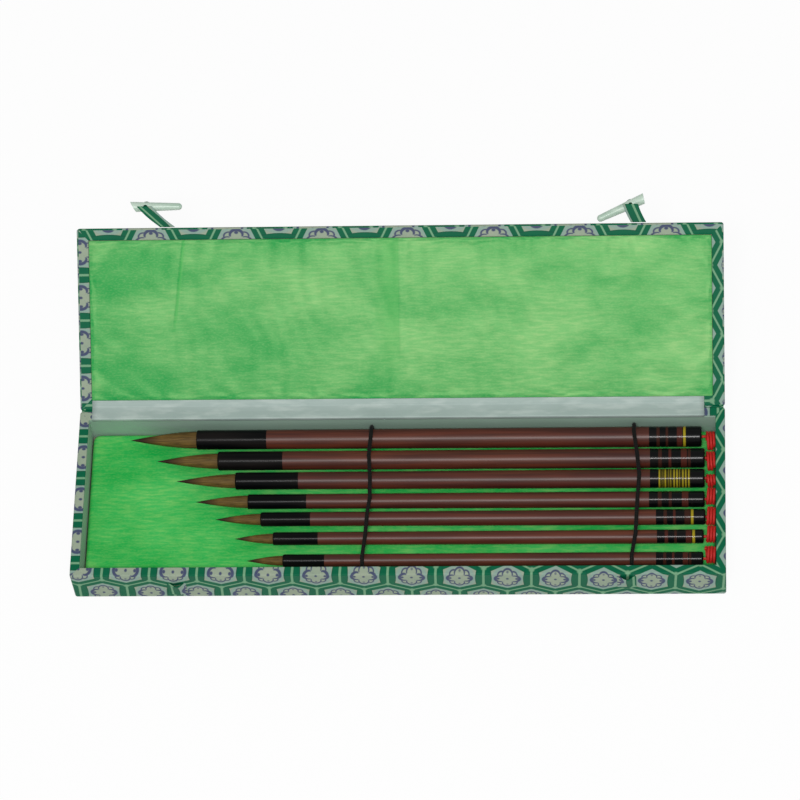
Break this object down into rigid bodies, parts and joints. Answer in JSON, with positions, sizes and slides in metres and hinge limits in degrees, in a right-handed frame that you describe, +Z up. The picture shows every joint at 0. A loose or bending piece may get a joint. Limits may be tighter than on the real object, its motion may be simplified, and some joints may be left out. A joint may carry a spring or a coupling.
{
  "type": "calligraphy set box",
  "caption": "Shallow brocade-covered box with a hinged padded lid, toggle closures, and writing brushes with ringed collars held on a satin pad by elastic cords.",
  "frame": {"origin": "centre of the tray's underside", "axes": "+X along the box towards the brushes' caps, +Y towards the hinge, +Z up; the front wall with the belt loops faces -Y"},
  "size_m": [0.33, 0.1913, 0.0797],
  "materials": {
    "brocade": "woven silk brocade with a hexagon pattern",
    "satin": "glossy green satin over padding",
    "satin_paper": "satin paper",
    "silver_paper": "silver-grey paper strip",
    "grey_board": "pressed pulp board",
    "lacquered_wood": "dark red-brown lacquer, glossy",
    "horn": "polished black horn with painted rings",
    "hair": "starched brush hair, drawn to a point",
    "red_silk": "red silk cord",
    "black_elastic": "black braided elastic cord",
    "bone": "pale polished bone"
  },
  "bodies": {
    "tray": {"underside_sheet": "brocade", "bottom_board": "grey_board", "front_wall": "grey_board", "rear_wall": "grey_board", "left_wall": "grey_board", "right_wall": "grey_board", "tray_cover": "brocade", "wall_lining": "satin_paper", "floor_card": "grey_board", "floor_pad": "satin", "hinge_paper_tray": "silver_paper", "loop_left": "brocade", "loop_right": "brocade", "elastic_left": "black_elastic", "elastic_right": "black_elastic"},
    "lid": {"lid_board": "grey_board", "lid_cover": "brocade", "lid_pad": "satin", "hinge_paper_lid": "silver_paper"},
    "strap_left": {"strap_left": "brocade"},
    "strap_right": {"strap_right": "brocade"},
    "toggle_left": {"toggle_left": "bone"},
    "toggle_right": {"toggle_right": "bone"},
    "brush_1": {"brush_1_handle": "lacquered_wood", "brush_1_ferrule": "horn", "brush_1_hair": "hair", "brush_1_collar": "horn", "brush_1_cord": "red_silk"},
    "brush_2": {"brush_2_handle": "lacquered_wood", "brush_2_ferrule": "horn", "brush_2_hair": "hair", "brush_2_collar": "horn", "brush_2_cord": "red_silk"},
    "brush_3": {"brush_3_handle": "lacquered_wood", "brush_3_ferrule": "horn", "brush_3_hair": "hair", "brush_3_collar": "horn", "brush_3_cord": "red_silk"},
    "brush_4": {"brush_4_handle": "lacquered_wood", "brush_4_ferrule": "horn", "brush_4_hair": "hair", "brush_4_collar": "horn", "brush_4_cord": "red_silk"},
    "brush_5": {"brush_5_handle": "lacquered_wood", "brush_5_ferrule": "horn", "brush_5_hair": "hair", "brush_5_collar": "horn", "brush_5_cord": "red_silk"},
    "brush_6": {"brush_6_handle": "lacquered_wood", "brush_6_ferrule": "horn", "brush_6_hair": "hair", "brush_6_collar": "horn", "brush_6_cord": "red_silk"},
    "brush_7": {"brush_7_handle": "lacquered_wood", "brush_7_ferrule": "horn", "brush_7_hair": "hair", "brush_7_collar": "horn", "brush_7_cord": "red_silk"}
  },
  "joints": [
    {"name": "lid_hinge", "type": "hinge", "parent": "tray", "child": "lid", "pos_m": [0, 0.047, 0.024], "axis": [1, 0, 0], "range_deg": [-34, 146]},
    {"name": "strap_left_fold", "type": "hinge", "parent": "lid", "child": "strap_left", "pos_m": [-0.119, 0.12778, 0.07306], "axis": [1, 0, 0], "range_deg": [0, 65]},
    {"name": "toggle_left_swivel", "type": "hinge", "parent": "strap_left", "child": "toggle_left", "pos_m": [-0.1299, 0.13598, 0.07859], "axis": [0, 0.5592, -0.829], "range_deg": [-30, 30]},
    {"name": "strap_right_fold", "type": "hinge", "parent": "lid", "child": "strap_right", "pos_m": [0.1218, 0.12778, 0.07306], "axis": [1, 0, 0], "range_deg": [0, 65]},
    {"name": "toggle_right_swivel", "type": "hinge", "parent": "strap_right", "child": "toggle_right", "pos_m": [0.118, 0.13482, 0.07781], "axis": [0, 0.5592, -0.829], "range_deg": [-30, 30]},
    {"name": "brush_1_slide", "type": "slide", "parent": "tray", "child": "brush_1", "axis": [-1, 0, 0], "range_m": [0, 0.02]},
    {"name": "brush_2_slide", "type": "slide", "parent": "tray", "child": "brush_2", "axis": [-1, 0, 0], "range_m": [0, 0.03]},
    {"name": "brush_3_slide", "type": "slide", "parent": "tray", "child": "brush_3", "axis": [-1, 0, 0], "range_m": [0, 0.03]},
    {"name": "brush_4_slide", "type": "slide", "parent": "tray", "child": "brush_4", "axis": [-1, 0, 0], "range_m": [0, 0.03]},
    {"name": "brush_5_slide", "type": "slide", "parent": "tray", "child": "brush_5", "axis": [-1, 0, 0], "range_m": [0, 0.03]},
    {"name": "brush_6_slide", "type": "slide", "parent": "tray", "child": "brush_6", "axis": [-1, 0, 0], "range_m": [0, 0.03]},
    {"name": "brush_7_slide", "type": "slide", "parent": "tray", "child": "brush_7", "axis": [-1, 0, 0], "range_m": [0, 0.03]}
  ]
}
